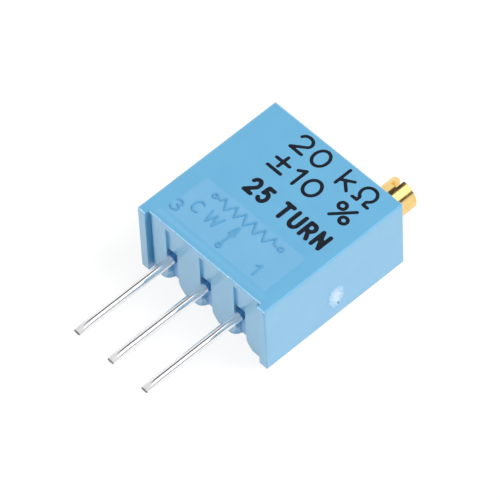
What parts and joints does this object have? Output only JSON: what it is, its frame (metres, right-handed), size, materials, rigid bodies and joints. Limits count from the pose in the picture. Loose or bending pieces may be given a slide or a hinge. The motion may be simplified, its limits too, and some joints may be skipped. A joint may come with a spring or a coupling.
{
  "type": "trimmer potentiometer",
  "caption": "Square multi-turn trimmer potentiometer with a slotted brass adjustment screw on top, a worm-driven wiper inside and in-line pins below.",
  "frame": {"origin": "on the middle pin's axis, in the plane of the standoff feet that stand on the board", "axes": "+Z out of the printed face, +Y towards the adjustment screw's head, +X across the row of pins, from pin 3 to pin 1"},
  "size_m": [0.0096, 0.0175, 0.0049],
  "materials": {
    "housing_plastic": "satin moulded plastic, sky blue",
    "epoxy": "cast epoxy, dark blue, glossy",
    "screw_brass": "turned brass, bright",
    "seal_rubber": "moulded rubber, black",
    "retainer_steel": "stamped spring steel",
    "gear_plastic": "natural moulded plastic",
    "wiper_alloy": "stamped spring alloy",
    "ceramic": "fired alumina ceramic, opaque, matt white",
    "resistive_film": "fired cermet film, dark grey",
    "conductor_film": "fired silver-palladium film",
    "tinned_wire": "tinned copper wire, bright",
    "solder": "reflowed solder"
  },
  "bodies": {
    "housing": {"housing": "housing_plastic", "back_seal": "epoxy", "screw_retainer": "retainer_steel", "ceramic_substrate": "ceramic", "resistive_track": "resistive_film", "collector_track": "conductor_film", "end_pad_1": "conductor_film", "end_pad_3": "conductor_film", "pin_1": "tinned_wire", "pin_2": "tinned_wire", "pin_3": "tinned_wire", "solder_1": "solder", "solder_2": "solder", "solder_3": "solder"},
    "screw": {"adjustment_screw": "screw_brass", "o_ring": "seal_rubber"},
    "rotor": {"rotor_gear": "gear_plastic", "wiper_contact": "wiper_alloy"}
  },
  "joints": [
    {"name": "screw_turn", "type": "hinge", "parent": "housing", "child": "screw", "pos_m": [0.00349, 0, 0.0013], "axis": [0, 1, 0], "range_deg": [-4500, 4500]},
    {"name": "rotor_turn", "type": "hinge", "parent": "housing", "child": "rotor", "pos_m": [0.00025, 0.00535, 0], "axis": [0, 0, 1], "range_deg": [-145.2, 145.2]}
  ],
  "couplings": [
    {"joint": "rotor_turn", "follows": "screw_turn", "ratio": -0.032258}
  ]
}
